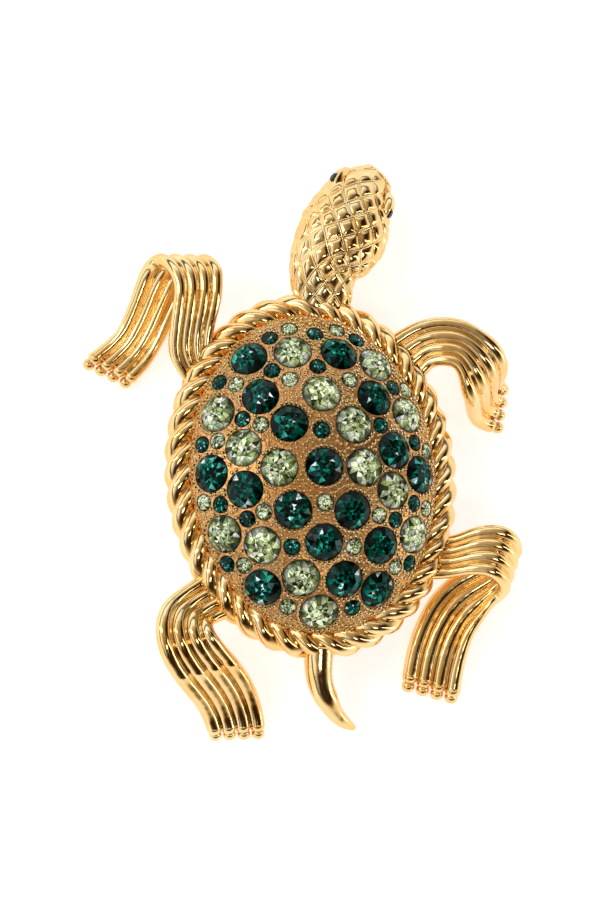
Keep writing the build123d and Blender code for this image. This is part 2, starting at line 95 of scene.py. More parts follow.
# (height over the scales' own, degrees from the mouth's line, width in degrees)
MOUTH_GROOVE, MOUTH_LIP = (-1.3, 0, 5), (0.9, -15, 8)
EYE_STATION = 0.785  # share of the head's length
EYE_ANGLE = 20  # degrees from the head's widest line
EYELID_STAND = 0.2 * MM  # from the oval up to the rim
EYELID_DEPTH = 1.2 * MM  # from the oval down to the hidden foot
EYELID_WALL = 0.5 * MM
LID_LENGTH = 1.6  # length of a lid over its width
LID_RISE = 0.3 * MM
TAIL_LENGTH = 12.4 * MM
TAIL_WIDTH = 4.3 * MM

ROPE_HALF_WIDTH = SHELL_HALF_WIDTH + ROPE_OUTSET
ROPE_HALF_LENGTH = SHELL_HALF_LENGTH + ROPE_OUTSET
CAP_COSINE = math.sqrt(1 - SHELL_FULLNESS**2)
DOME_HALF_HEIGHT = SHELL_RISE / (1 - CAP_COSINE)
DOME_HALF_WIDTH = SHELL_HALF_WIDTH / SHELL_FULLNESS
DOME_HALF_LENGTH = SHELL_HALF_LENGTH / SHELL_FULLNESS
DOME_BASE = RING_HEIGHT + SHELL_EDGE_RISE - DOME_HALF_HEIGHT * CAP_COSINE

# Stones: (across, along) as shares of the shell's half width and half length
EMERALDS = [
    (-0.45, 0.74), (0.28, 0.72), (-0.41, 0.48), (0.52, 0.42), (-0.21, 0.29), (0.64, 0.08),
    (-0.85, 0.04), (0.03, 0.00), (0.85, -0.07), (-0.61, -0.09), (-0.25, -0.25), (0.23, -0.28),
    (-0.02, -0.46), (0.45, -0.50), (0.13, -0.69), (-0.52, -0.69), (0.41, -0.76),
]
PERIDOTS = [
    (-0.10, 0.75), (0.58, 0.64), (0.08, 0.46), (-0.75, 0.41), (0.31, 0.25), (0.79, 0.31),
    (-0.59, 0.17), (-0.33, 0.02), (0.36, -0.02), (0.59, -0.17), (-0.79, -0.34), (-0.51, -0.44),
    (0.75, -0.44), (-0.22, -0.66), (-0.08, -0.87),
]
SMALL_EMERALDS = [
    (-0.26, 0.86), (0.11, 0.86), (0.45, 0.81), (-0.29, 0.64), (0.08, 0.64), (-0.70, 0.61),
    (0.70, 0.485), (-0.57, 0.35), (0.04, 0.23), (0.54, 0.24), (-0.89, 0.23), (0.83, 0.13),
    (-0.80, -0.16), (0.77, -0.25), (-0.61, -0.27), (0.59, -0.35), (-0.28, -0.47), (-0.78, -0.52),
    (0.70, -0.61), (0.19, -0.86),
]
SMALL_PERIDOTS = [
    (-0.09, 0.91), (0.30, 0.88), (-0.16, 0.57), (0.33, 0.54), (-0.58, 0.58), (0.82, 0.475),
    (-0.435, 0.30), (-0.775, 0.235), (0.94, 0.08), (-0.92, -0.13), (-0.48, -0.24), (0.01, -0.22),
    (0.45, -0.32), (0.88, -0.28), (0.22, -0.50), (-0.655, -0.545), (0.57, -0.63), (-0.33, -0.82),
]

# Legs, section by section from the rope to the toes: the middles of the first and the last rib,
# and their height, (across, along, across, along, height)
LEGS = {
    "front_left": [
        (-0.84, 0.59, -0.73, 0.71, -0.05), (-0.965, 0.775, -0.71, 0.84, 0.23),
        (-0.95, 0.92, -0.68, 0.95, 0.58), (-0.90, 1.09, -0.62, 1.09, 0.88),
        (-0.88, 1.19, -0.60, 1.20, 1.00), (-0.91, 1.29, -0.60, 1.28, 0.85),
        (-0.99, 1.37, -0.67, 1.35, 0.23), (-1.08, 1.34, -0.74, 1.30, -0.21),
        (-1.16, 1.21, -0.85, 1.18, -0.42), (-1.23, 1.09, -0.95, 1.04, -0.61),
        (-1.32, 0.97, -1.06, 0.89, -0.80), (-1.45, 0.89, -1.19, 0.765, -0.94),
        (-1.58, 0.82, -1.31, 0.695, -1.00),
    ],
    "front_right": [
        (0.71, 0.75, 0.91, 0.56, -0.05), (0.91, 0.835, 1.01, 0.63, 0.31),
        (1.10, 0.855, 1.10, 0.63, 0.69), (1.28, 0.82, 1.19, 0.61, 0.88),
        (1.42, 0.74, 1.24, 0.54, 0.85), (1.52, 0.66, 1.27, 0.46, 0.62),
        (1.56, 0.59, 1.31, 0.39, 0.08), (1.58, 0.55, 1.34, 0.34, -0.35),
        (1.57, 0.51, 1.38, 0.29, -0.70), (1.59, 0.49, 1.46, 0.26, -0.92),
        (1.625, 0.47, 1.55, 0.24, -1.00),
    ],
    "rear_left": [
        (-0.85, -0.55, -0.68, -0.75, -0.05), (-1.07, -0.64, -0.87, -0.80, 0.19),
        (-1.20, -0.71, -0.93, -0.83, 0.58), (-1.26, -0.81, -0.93, -0.88, 0.88),
        (-1.265, -0.91, -0.91, -0.92, 0.92), (-1.23, -1.01, -0.86, -0.98, 0.58),
        (-1.155, -1.11, -0.77, -1.06, 0.00), (-1.06, -1.20, -0.68, -1.15, -0.31),
        (-0.97, -1.29, -0.61, -1.25, -0.61), (-0.915, -1.375, -0.57, -1.36, -0.85),
        (-0.885, -1.46, -0.555, -1.47, -1.00),
    ],
    "rear_right": [
        (0.90, -0.46, 0.77, -0.64, -0.05), (1.06, -0.46, 0.99, -0.65, 0.23),
        (1.20, -0.43, 1.13, -0.64, 0.69), (1.35, -0.43, 1.25, -0.65, 1.00),
        (1.45, -0.46, 1.33, -0.68, 1.00), (1.52, -0.51, 1.40, -0.73, 0.46),
        (1.53, -0.57, 1.41, -0.78, -0.14), (1.43, -0.61, 1.35, -0.82, -0.38),
        (1.29, -0.63, 1.26, -0.89, -0.52), (1.07, -0.69, 1.155, -0.975, -0.63),
        (0.87, -0.83, 1.08, -1.08, -0.75), (0.72, -1.05, 1.02, -1.21, -0.87),
        (0.65, -1.27, 0.975, -1.36, -1.00),
    ],
}

# Head: (side, forward, rise, width, height) for each section from the rope to the nose
HEAD = [
    (0.00, 0.00, 0.00, 0.60, 0.38),
    (0.01, 0.15, 0.04, 0.66, 0.60),
    (0.05, 0.32, 0.08, 0.80, 0.86),
    (0.18, 0.51, 0.06, 0.96, 1.00),
    (0.285, 0.69, 0.03, 0.87, 0.92),
    (0.385, 0.83, 0.00, 0.67, 0.76),
    (0.50, 0.932, -0.03, 0.40, 0.46),
]
NOSE = (0.54, 0.959, -0.04)

# Tail: (side, back, height, width) for each section from the rope to the tip
TAIL = [
    (-0.10, 0.03, -0.03, 1.00),
    (-0.12, 0.26, -0.14, 0.92),
    (-0.10, 0.47, -0.30, 0.84),
    (-0.04, 0.62, -0.42, 0.76),
    (0.03, 0.75, -0.57, 0.60),
    (0.14, 0.87, -0.75, 0.46),
    (0.25, 0.94, -0.90, 0.24),
]


class TurtleSizes(bpy.types.PropertyGroup):
    """Sizes of the cast and raised details."""

    rope_radius: FloatProperty(
        name="Rope radius", description="From the rope's middle to the crest of a strand",
        default=2.4 * MM, unit="LENGTH",
    )
    strand_radius: FloatProperty(
        name="Strand radius", description="Radius of each of the rope's strands",
        default=1.42 * MM, unit="LENGTH",
    )
    rib_fullness: FloatProperty(
        name="Rib fullness", description="Radius of a leg's rib over the distance between ribs",
        default=0.53,
    )
    scale_relief: FloatProperty(
        name="Scale relief", description="How far the head's scales stand out",
        default=0.26 * MM, unit="LENGTH",
    )
    bead_radius: FloatProperty(
        name="Bead radius", description="Radius of the grain beads between the stones",
        default=0.31 * MM, unit="LENGTH",
    )
    bead_pitch: FloatProperty(
        name="Bead pitch", description="Least distance between the middles of two beads",
        default=0.68 * MM, unit="LENGTH",
    )


class TurtleColours(bpy.types.PropertyGroup):
    """Colours of the metal, the stones and the floor."""

    gilt: FloatVectorProperty(
        name="Gilt", description="Polished gilding", subtype="COLOR", default=(0.92, 0.69, 0.34),
    )
    gilt_deep: FloatVectorProperty(
        name="Deep gilt", description="Gilding where it is thick and warm", subtype="COLOR",
        default=(0.90, 0.57, 0.21),
    )
    # painted highlight: the beads' gilding is a lighter, lit copy of the gilt, so that their
    # reflections come out whiter
    bead: FloatVectorProperty(
        name="Bead", description="Brightly worn gilding of the grain beads", subtype="COLOR",
        default=(1.0, 0.82, 0.54),
    )
    # The plate's two colours are painted shade: the gilding between the grain beads is darkened for
    # the shadow among the beads
    plate: FloatVectorProperty(
        name="Plate", description="Darkened gilding between the grain beads", subtype="COLOR",
        default=(0.88, 0.48, 0.17),
    )
    plate_painted_shade: FloatVectorProperty(
        name="Deep plate", description="Darkest gilding between the grain beads", subtype="COLOR",
        default=(0.50, 0.21, 0.06),
    )
    floor: FloatVectorProperty(
        name="Floor", description="Pale studio floor", subtype="COLOR", default=(0.8, 0.8, 0.8),
    )


# Colours of a stone's facets, and how often each comes: (share, red, green, blue). Besides the
# stone's own colour they hold painted reflections: light and dark facets stand for the pavilion's
# light seen through the crown, and the white rows of the emerald and peridot tables are painted
# highlights
EMERALD_FACETS = [
    (0.34, 0.000, 0.004, 0.003),
    (0.26, 0.000, 0.022, 0.015),
    (0.24, 0.000, 0.080, 0.053),
    (0.12, 0.002, 0.190, 0.130),
    (0.05, 0.060, 0.560, 0.430),
    (0.02, 0.800, 0.900, 0.880),
]
PERIDOT_FACETS = [
    (0.15, 0.030, 0.045, 0.008),
    (0.16, 0.130, 0.165, 0.050),
    (0.23, 0.360, 0.440, 0.180),
    (0.19, 0.640, 0.760, 0.440),
    (0.17, 0.860, 0.960, 0.620),
    (0.09, 1.000, 1.000, 0.860),
]
EYE_FACETS = [
    (0.5, 0.003, 0.006, 0.010),
    (0.3, 0.008, 0.020, 0.030),
    (0.2, 0.030, 0.060, 0.080),
]


# Surfaces


class Form:
    """Points and faces gathered into one mesh."""

    def __init__(self):
        self.points = []
        self.faces = []
        self.count = 0

    def add(self, points, faces):
        """Takes points of shape (n, 3) and lists of faces that count from the first of them."""
        self.points.append(np.asarray(points, float).reshape(-1, 3))
        for group in faces:
            self.faces.extend((np.asarray(group) + self.count).tolist())
        self.count += len(self.points[-1])

    def mesh(self, name):
        """The gathered mesh, with its faces turned as they were given."""
        mesh = bpy.data.meshes.new(name)
        mesh.from_pydata(np.concatenate(self.points).tolist(), [], self.faces)
        mesh.validate()
        return mesh


def ring_faces(rings, points, loop=False):
    """Quads between each ring of points and the next, and from the last to the first in a loop."""
    spans = rings if loop else rings - 1
    ring, point = np.ogrid[:spans, :points]
    after, beside = (ring + 1) % rings, (point + 1) % points
    corners = [ring * points + point, ring * points + beside,
               after * points + beside, after * points + point]
    return np.stack(corners, -1).reshape(-1, 4)


def fan_faces(first, points, centre, opens):
    """Triangles from a ring's points to one centre point, for a first ring or for a last one."""
    here = np.arange(points)
    near, far = first + here, first + (here + 1) % points
    if opens:
        near, far = far, near
    return triples(far, near, centre)


def closed_faces(rings, points, walls=None):
    """The faces between rings of points, which are the walls, and a fan at each end."""
    return [
        ring_faces(rings, points) if walls is None else walls,
        fan_faces(0, points, rings * points, True),
        fan_faces((rings - 1) * points, points, rings * points + 1, False),
    ]


def tube(form, rings, walls=None):
    """Adds rings of points of shape (rings, points, 3), closed at the middles of both ends."""
    ends = [rings[0].mean(0), rings[-1].mean(0)]
    form.add(np.concatenate([rings.reshape(-1, 3), ends]), closed_faces(*rings.shape[:2], walls))


def scatter(form, place, axes, local, groups):
    """Adds points and groups of faces at every place, turned to the place's frame. The points are
    the same for all places, or each place has its own."""
    shift = np.arange(len(place))[:, None, None] * local.shape[-2]
    form.add(place[:, None] + local @ axes,
             [(group + shift).reshape(-1, group.shape[-1]) for group in groups])


def unit(vectors):
    """The vectors at length one."""
    return vectors / np.linalg.norm(vectors, axis=-1, keepdims=True)


def triples(a, b, c):
    """Points, directions or triangles from three parts, each an array or one for all."""
    return np.stack(np.broadcast_arrays(a, b, c), -1)


def full_turn(count):
    """Angles evenly round a circle."""
    return np.linspace(0, 2 * math.pi, count, endpoint=False)


def round_off(count, reach, middle, direction, *sizes):
    """Carries a line of middles on by a reach times the sines of a quarter turn, keeps its last
    direction, and shrinks its sizes by the cosines, so that its end is round."""
    close = np.linspace(0, math.pi / 2, count + 2)[1:-1]
    middle = np.concatenate([middle, middle[-1] + np.sin(close)[:, None] * reach])
    direction = np.concatenate([direction, np.repeat(direction[-1:], count, 0)])
    return middle, direction, *(np.concatenate([v, v[-1] * np.cos(close)]) for v in sizes)


def polygon(radius, count, turn, height):
    """Corners of a flat polygon."""
    angle = turn + full_turn(count)
    return triples(radius * np.cos(angle), radius * np.sin(angle), height)


def sphere_rings(polar, points):
    """Circles on a sphere of radius one, at angles from its lowest point."""
    polar, turn = polar[:, None], full_turn(points)
    return triples(np.sin(polar) * np.cos(turn), np.sin(polar) * np.sin(turn), -np.cos(polar))


def frames_along(outward):
    """Frames (right, ahead, outward) for outward directions, with right level."""
    right = unit(np.cross((0, 1, 0), outward))
    return np.stack([right, np.cross(outward, right), outward], -2)


def smooth(table, places, ease=0.0):
    """Rows of a table at shares of its length, by a cubic B-spline through its rows: a sixth of the
    knot before, two thirds of its own and a sixth of the one after make a row. Ease moves the knots
    towards the rows, which irons the curve out."""
    rows = np.asarray(table, float)
    last = len(rows) - 1
    weights = (np.eye(last + 1, k=-1) + 4 * np.eye(last + 1) + np.eye(last + 1, k=1)) / 6
    weights[[0, -1]] = 0
    weights[0, 0] = weights[-1, -1] = 1
    knots = (1 - ease) * np.linalg.solve(weights, rows) + ease * rows
    knots = np.concatenate([[2 * knots[0] - knots[1]], knots, [2 * knots[-1] - knots[-2]]])
    spot = np.clip(places, 0, 1) * last
    row = np.minimum(spot.astype(int), last - 1)
    t = (spot - row)[:, None]
    a, b, c, d = (knots[row + k] for k in range(4))
    return (a * (1 - t) ** 3 + b * (4 - 6 * t**2 + 3 * t**3)
            + c * (1 + 3 * t + 3 * t**2 - 3 * t**3) + d * t**3) / 6


OVAL_STEPS = 4000  # steps in which the oval's length is added up
RINGS_PER_TURN = 32
STRAND_POINTS = 18


def on_rope(across, along, height):
    """Points from shares of the rope's half width and half length, and their heights."""
    return triples(SHELL_X + across * ROPE_HALF_WIDTH, SHELL_Y + along * ROPE_HALF_LENGTH, height)


def rope_rings(rope_radius, strand_radius):
    """Rings round the shell. Each is three circles about the rope's middle, taken at their outer
    side: distance d cos(a) + sqrt(r2 - d2 sin(a)2) at angle a from a strand, and it turns as it
    goes along the oval."""
    dense = np.linspace(0, 2 * math.pi, OVAL_STEPS + 1)
    steps = np.hypot(ROPE_HALF_WIDTH * np.sin(dense), ROPE_HALF_LENGTH * np.cos(dense))
    length = np.concatenate([[0], np.cumsum((steps[1:] + steps[:-1]) / 2)])
    share = np.arange(TURNS * RINGS_PER_TURN) / (TURNS * RINGS_PER_TURN)
    t = np.interp(share * length[-1], length, dense)
    middle = on_rope(np.cos(t), np.sin(t), RING_HEIGHT)
    outward = unit(triples(ROPE_HALF_LENGTH * np.cos(t), ROPE_HALF_WIDTH * np.sin(t), 0))
    offset = rope_radius - strand_radius
    span = math.pi / STRANDS
    across = np.sin(np.linspace(-math.pi / 2, math.pi / 2, STRAND_POINTS + 1))[:-1] * span
    reach = offset * np.cos(across) + np.sqrt(strand_radius**2 - (offset * np.sin(across)) ** 2)
    angle = (across + 2 * span * np.arange(STRANDS)[:, None]).ravel()
    reach = np.tile(reach, STRANDS)
    turn = angle - 2 * math.pi * TURNS * share[:, None]
    rings = middle[:, None] + outward[:, None] * (reach * np.cos(turn))[..., None]
    rings[..., 2] = np.maximum(rings[..., 2] + reach * np.sin(turn), BACK_HEIGHT)
    return rings


def leg_height(share):
    """Height of a leg's middle: 0 is the rope's middle, 1 the highest point and -1 the toes."""
    return RING_HEIGHT + np.where(share > 0, share * LEG_RISE, share * (RING_HEIGHT - TOE_HEIGHT))


def leg_points(shares):
    """Points of a leg from (across, along, height) shares."""
    across, along, height = shares.T
    return on_rope(across, along, leg_height(height))


LEG_RINGS = 181
LEG_AIM = 0.025  # share of a leg before and after a ring that sets its direction
END_POINTS = 22  # points round the outer half of an outer rib
CREST_POINTS = 12  # points over the crest of a rib
BALL_RINGS, BALL_POINTS = 13, 24


def rib_outline(fullness):
    """Outline of the ribs side by side at a pitch of one, as an arc over each rib's crest."""
    lean = math.asin(0.5 / fullness)
    first = -(RIBS - 1) / 2
    quarter = math.pi / 2
    inner = range(1, RIBS - 1)
    arcs = [(RIBS - 1, -quarter - lean, quarter + lean, END_POINTS)]
    arcs += [(rib, quarter - lean, quarter + lean, CREST_POINTS) for rib in reversed(inner)]
    arcs += [(0, quarter - lean, 3 * quarter + lean, END_POINTS)]
    arcs += [(rib, 3 * quarter - lean, 3 * quarter + lean, CREST_POINTS) for rib in inner]
    outline = []
    for rib, start, end, count in arcs:
        angle = start + (end - start) * np.arange(count) / count
        arc = [first + rib + fullness * np.cos(angle), fullness * np.sin(angle)]
        outline.append(np.stack(arc, -1))
    return np.concatenate(outline)


def ball(form, centre, radius):
    """Adds a sphere: circles of latitude between two poles."""
    polar = np.linspace(0, math.pi, BALL_RINGS + 2)[1:-1]
    rings = centre + radius * sphere_rings(polar, BALL_POINTS)
    poles = [centre - (0, 0, radius), centre + (0, 0, radius)]
    form.add(np.concatenate([rings.reshape(-1, 3), poles]), closed_faces(BALL_RINGS, BALL_POINTS))


def leg_form(table, fullness):
    """A ribbon of ribs: the outline is carried along the line midway between the first and the last
    rib, flat across it, and each rib has a round end and a ball for its toe."""
    form = Form()

    def sides(places):
        rows = smooth(table, places, LEG_EASE)
        return leg_points(rows[:, FIRST]), leg_points(rows[:, LAST])

    places = np.linspace(0, 1, LEG_RINGS)
    line = sum(sides(places)) / 2
    left = np.linalg.norm(np.diff(line, axis=0), axis=-1)[::-1].cumsum()[::-1]
    places = places[:-1][left > TOE_SETBACK]
    a, b = sides(places)
    forward = sum(sides(places + LEG_AIM)) - sum(sides(places - LEG_AIM))
    across = unit(b - a)
    normal = unit(forward - across * (forward * across).sum(-1, keepdims=True))
    up = np.cross(normal, across)
    pitch = np.linalg.norm(b - a, axis=-1)[:, None, None] / (RIBS - 1)
    outline = rib_outline(fullness)
    spokes = across[:, None] * outline[:, :1] + up[:, None] * outline[:, 1:]
    tube(form, (a + b)[:, None] / 2 + pitch * spokes)
    first, last = (leg_points(np.array(table)[-1:, part])[0] for part in (FIRST, LAST))
    radius = TOE_FULLNESS * np.linalg.norm(last - first) / (RIBS - 1)
    for share in np.arange(RIBS) / (RIBS - 1):
        ball(form, a[-1] + (b[-1] - a[-1]) * share, fullness * pitch[-1, 0, 0])
        toe = first + (last - first) * share + normal[-1] * TOE_STEP
        toe[2] = radius
        ball(form, toe, radius)
    return form


HEAD_RINGS = 250
HEAD_AIM = 0.01  # share of the head before and after a ring that sets its direction
NOSE_RINGS = 20
RING_POINTS = 360
CROWDING = 0.42  # how far a ring's points crowd towards its top
SHRINK_BELOW = 0.35  # half width under which the scales get lower, over the head's width
SCALE_FOOT = 0.3  # height in the net's relief that stays on the oval


def head_points(shares):
    """Points of the head from (side, forward, rise) shares."""
    side, forward, rise = np.asarray(shares, float).reshape(-1, 3).T
    return triples(
        SHELL_X + NECK_SIDE + side * HEAD_LENGTH,
        SHELL_Y + ROPE_HALF_LENGTH + forward * HEAD_LENGTH,
        RING_HEIGHT + rise * HEAD_HEIGHT,
    )


def head_frames(places):
    """Middles, sideways directions, half widths and half heights at shares of the head's length."""
    rows, ahead, behind = (smooth(HEAD, places + step) for step in (0, HEAD_AIM, -HEAD_AIM))
    along = head_points(ahead[:, :3]) - head_points(behind[:, :3])
    sideways = unit(triples(along[:, 1], -along[:, 0], 0))
    middle = head_points(rows[:, :3])
    return middle, sideways, rows[:, 3] * HEAD_WIDTH / 2, rows[:, 4] * HEAD_HEIGHT / 2


def net_relief(along, around):
    """Height from 0 to 1 of cushion-shaped diamonds with a thin ridge between them. The distance
    from each family of lines is 0 on a line and 1 midway between two, and a cushion is the product
    of a power curve across each family."""
    groove = 2 * GROOVE_HALF
    cushion, ridge = 1, 0
    for line in (along + around, along - around):
        off = 2 * np.abs(line - np.round(line))
        inside = np.clip((off - groove) / (1 - groove), 0, 1)
        cushion = cushion * (1 - (1 - inside) ** 3)
        ridge = np.maximum(ridge, np.clip(1 - 2 * off / groove, 0, 1))
    return np.maximum(cushion, RIDGE_SHARE * ridge)


def mouth_relief(share, angle):
    """Depth of the mouth's line and height of the lip under it, as bell curves across the head's
    side that fade in towards the nose."""
    fade = np.clip((share - MOUTH_START) / MOUTH_FADE, 0, 1)
    turn = np.degrees(np.arctan2(np.sin(angle), np.abs(np.cos(angle))))
    groove, lip = (
        height * np.exp(-(((turn - MOUTH_ANGLE - beside) / wide) ** 2))
        for height, beside, wide in (MOUTH_GROOVE, MOUTH_LIP)
    )
    return fade * (lip + groove)


def crisp_faces(height):
    """Triangles over a grid that closes on itself across. Each square is cut along the diagonal
    whose ends differ least in height, so that thin ridges stay whole."""
    rows, points = height.shape
    corners = ring_faces(rows, points)
    a, b, c, d = height.ravel()[corners].T
    straight = (np.abs(a - c) <= np.abs(b - d))[:, None, None]
    one, other = corners[:, [[0, 1, 2], [0, 2, 3]]], corners[:, [[0, 1, 3], [1, 2, 3]]]
    return np.where(straight, one, other).reshape(-1, 3)


def head_form(relief):
    """Egg-shaped head on its neck: ovals along a bent line, each point pushed out by the net of
    scales, and a rounded nose. The points lie closer over the head than under it."""
    form = Form()
    line = head_frames(np.linspace(0, 1, HEAD_RINGS))
    nose = head_points(NOSE)[0] - line[0][-1]
    middle, sideways, half_width, half_height = round_off(NOSE_RINGS, nose, *line)
    steps = np.linalg.norm(np.diff(middle, axis=0), axis=-1)
    along = np.concatenate([[0], np.cumsum(steps)])[:, None]
    turn = np.linspace(-math.pi, math.pi, RING_POINTS, endpoint=False)
    from_top = turn - CROWDING * np.sin(turn)
    angle = math.pi / 2 - from_top
    reach = half_width[:, None] ** NET_EVENNESS * (HEAD_WIDTH / 2) ** (1 - NET_EVENNESS)
    height = net_relief(along / SCALE_DIAGONAL, from_top * reach / SCALE_DIAGONAL)
    height += mouth_relief(along / along[-1], angle)
    shrink = np.minimum(1, half_width / (SHRINK_BELOW * HEAD_WIDTH))[:, None]
    push = relief * shrink * (height - SCALE_FOOT)
    across = (half_width[:, None] + push) * np.cos(angle)
    rings = middle[:, None] + sideways[:, None] * across[..., None]
    rings[..., 2] += (half_height[:, None] + push) * np.sin(angle)
    tube(form, rings[:, ::-1], crisp_faces(height[:, ::-1]))
    return form


def eye_frame(side):
    """Place and frame of an eye at its angle on the head's oval; side is -1 left and 1 right."""
    frames = head_frames(np.array([EYE_STATION]))
    middle, sideways, half_width, half_height = (values[0] for values in frames)
    angle = math.radians(EYE_ANGLE)
    aside, up = sideways * side * math.cos(angle), np.array([0, 0, math.sin(angle)])
    return middle + aside * half_width + up * half_height, frames_along(aside + up)


LIP_POINTS = 11
LID_POINTS = 48
LID_SPREAD = 1.12  # radius of a lid at its foot over that at its rim


def eyelid(form, place, axes):
    """Adds a collar: a rounded profile (distance, height) turned about the outward axis. Its outer
    edge is drawn out ahead and behind and bends with the head as a parabola, and by a squared sine
    it stands further out above the eye than below it."""
    inner = EYE_RADIUS + SEAT_GAP
    outer = inner + EYELID_WALL
    lip = (outer - inner) / 2
    bend = np.linspace(0, math.pi, LIP_POINTS)
    rim = [inner + lip - lip * np.cos(bend), EYELID_STAND - lip + lip * np.sin(bend)]
    foot = -EYELID_DEPTH
    profile = [[(inner, foot)], np.stack(rim, -1), [(outer * LID_SPREAD, foot)]]
    reach, height = np.concatenate(profile).T
    turn = full_turn(LID_POINTS)[:, None]
    upward = (np.concatenate([np.cos(turn), np.sin(turn)], 1) @ axes[:2])[:, 2:]
    lid = LID_RISE * np.clip(upward, 0, 1) ** 2 * (height > foot)
    drawn = 1 + (LID_LENGTH - 1) * (reach - inner) / (outer - inner)
    ahead = drawn * reach * np.sin(turn)
    local = triples(reach * np.cos(turn), ahead, height + lid - ahead**2 / HEAD_WIDTH)
    form.add(place + local @ axes, [ring_faces(*local.shape[:2], loop=True)])


TAIL_RINGS, TIP_RINGS, TAIL_POINTS = 60, 6, 40


def tail_form():
    """Claw-shaped tail: circles along a bent line, with a rounded tip."""
    form = Form()
    side, back, height, width = smooth(TAIL, np.linspace(0, 1, TAIL_RINGS)).T
    start = SHELL_Y - ROPE_HALF_LENGTH
    middle = triples(SHELL_X + side * TAIL_LENGTH, start - back * TAIL_LENGTH, leg_height(height))
    radius = width * TAIL_WIDTH / 2
    along = unit(np.gradient(middle, axis=0))
    middle, along, radius = round_off(TIP_RINGS, along[-1] * radius[-1], middle, along, radius)
    right = unit(np.cross(along, (0, 0, 1)))
    up = np.cross(right, along)
    turn = full_turn(TAIL_POINTS)[:, None]
    spokes = right[:, None] * np.cos(turn) - up[:, None] * np.sin(turn)
    tube(form, middle[:, None] - radius[:, None, None] * spokes)
    return form


def on_dome(across, along):
    """Places on the dome and their frames, from distances across and along the shell. The dome is
    an ellipsoid's cap."""
    rise = np.sqrt(1 - (across / DOME_HALF_WIDTH) ** 2 - (along / DOME_HALF_LENGTH) ** 2)
    place = triples(SHELL_X + across, SHELL_Y + along, DOME_BASE + DOME_HALF_HEIGHT * rise)
    outward = unit(triples(
        across / DOME_HALF_WIDTH**2, along / DOME_HALF_LENGTH**2, rise / DOME_HALF_HEIGHT,
    ))
    return place, frames_along(outward)


def stone_places(table):
    """Places and frames of a table's stones."""
    return on_dome(*(np.array(table) * (SHELL_HALF_WIDTH, SHELL_HALF_LENGTH)).T)


BEAD_RING_STEP = 0.9  # from a stone's first ring of beads to its second, in pitches
LATTICE_STEPS = 3  # places of the lattice in a pitch
PLATE_SHARE = 0.98  # how much of the shell's oval takes beads
CLEARANCE_SLACK, PITCH_SLACK = 0.95, 0.97
BEAD_POINTS = 9
BEAD_RINGS = (0.76, 1.26, 1.66)  # quarter turns from a bead's lowest point
BEAD_FOOT = -0.6  # height of a bead's hidden end over its radius


def bead_places(pitch):
    """Places for the grain beads: two rings round each stone, then a lattice between them. A place
    is kept when it is clear of every stone and at least a pitch from those kept before."""
    stones = [
        (*stone_places(EMERALDS + PERIDOTS), LARGE_RADIUS),
        (*stone_places(SMALL_EMERALDS + SMALL_PERIDOTS), SMALL_RADIUS),
    ]
    centres = np.concatenate([place for place, axes, radius in stones])
    radii = np.concatenate([np.full(len(place), radius) for place, axes, radius in stones])
    spots = []
    for ring in (BEAD_CLEARANCE, BEAD_CLEARANCE + BEAD_RING_STEP * pitch):
        for place, axes, radius in stones:
            reach = radius + ring
            local = polygon(reach, int(2 * math.pi * reach / pitch), 0, 0)
            spots.append((place[:, None] + local @ axes).reshape(-1, 3)[:, :2])
    grain = pitch / LATTICE_STEPS
    halves = (SHELL_HALF_WIDTH, SHELL_HALF_LENGTH)
    across, along = np.meshgrid(*(np.arange(-half, half, grain) for half in halves))
    lattice = np.stack([across.ravel() + SHELL_X, along.ravel() + SHELL_Y], -1)
    spots = np.concatenate(spots + [lattice]) - (SHELL_X, SHELL_Y)
    place, axes = on_dome(*spots[((spots / halves) ** 2).sum(-1) < PLATE_SHARE].T)
    apart = np.linalg.norm(place[:, None] - centres, axis=-1) - radii
    clear = apart.min(-1) > CLEARANCE_SLACK * BEAD_CLEARANCE
    place, axes = place[clear], axes[clear]
    chosen = []
    for i, spot in enumerate(place):
        gaps = ((place[chosen] - spot) ** 2).sum(-1)
        if gaps.min(initial=1) > (PITCH_SLACK * pitch) ** 2:
            chosen.append(i)
    return place[chosen], axes[chosen]


def beads_form(radius, pitch):
    """A low dome of a sphere at each of the beads' places."""
    form = Form()
    place, axes = bead_places(pitch)
    rings = sphere_rings(np.array(BEAD_RINGS) * math.pi / 2, BEAD_POINTS).reshape(-1, 3)
    local = radius * (np.concatenate([rings, [(0, 0, BEAD_FOOT), (0, 0, 1)]]) + (0, 0, BEAD_LIFT))
    scatter(form, place, axes, local, closed_faces(len(BEAD_RINGS), BEAD_POINTS))
    return form


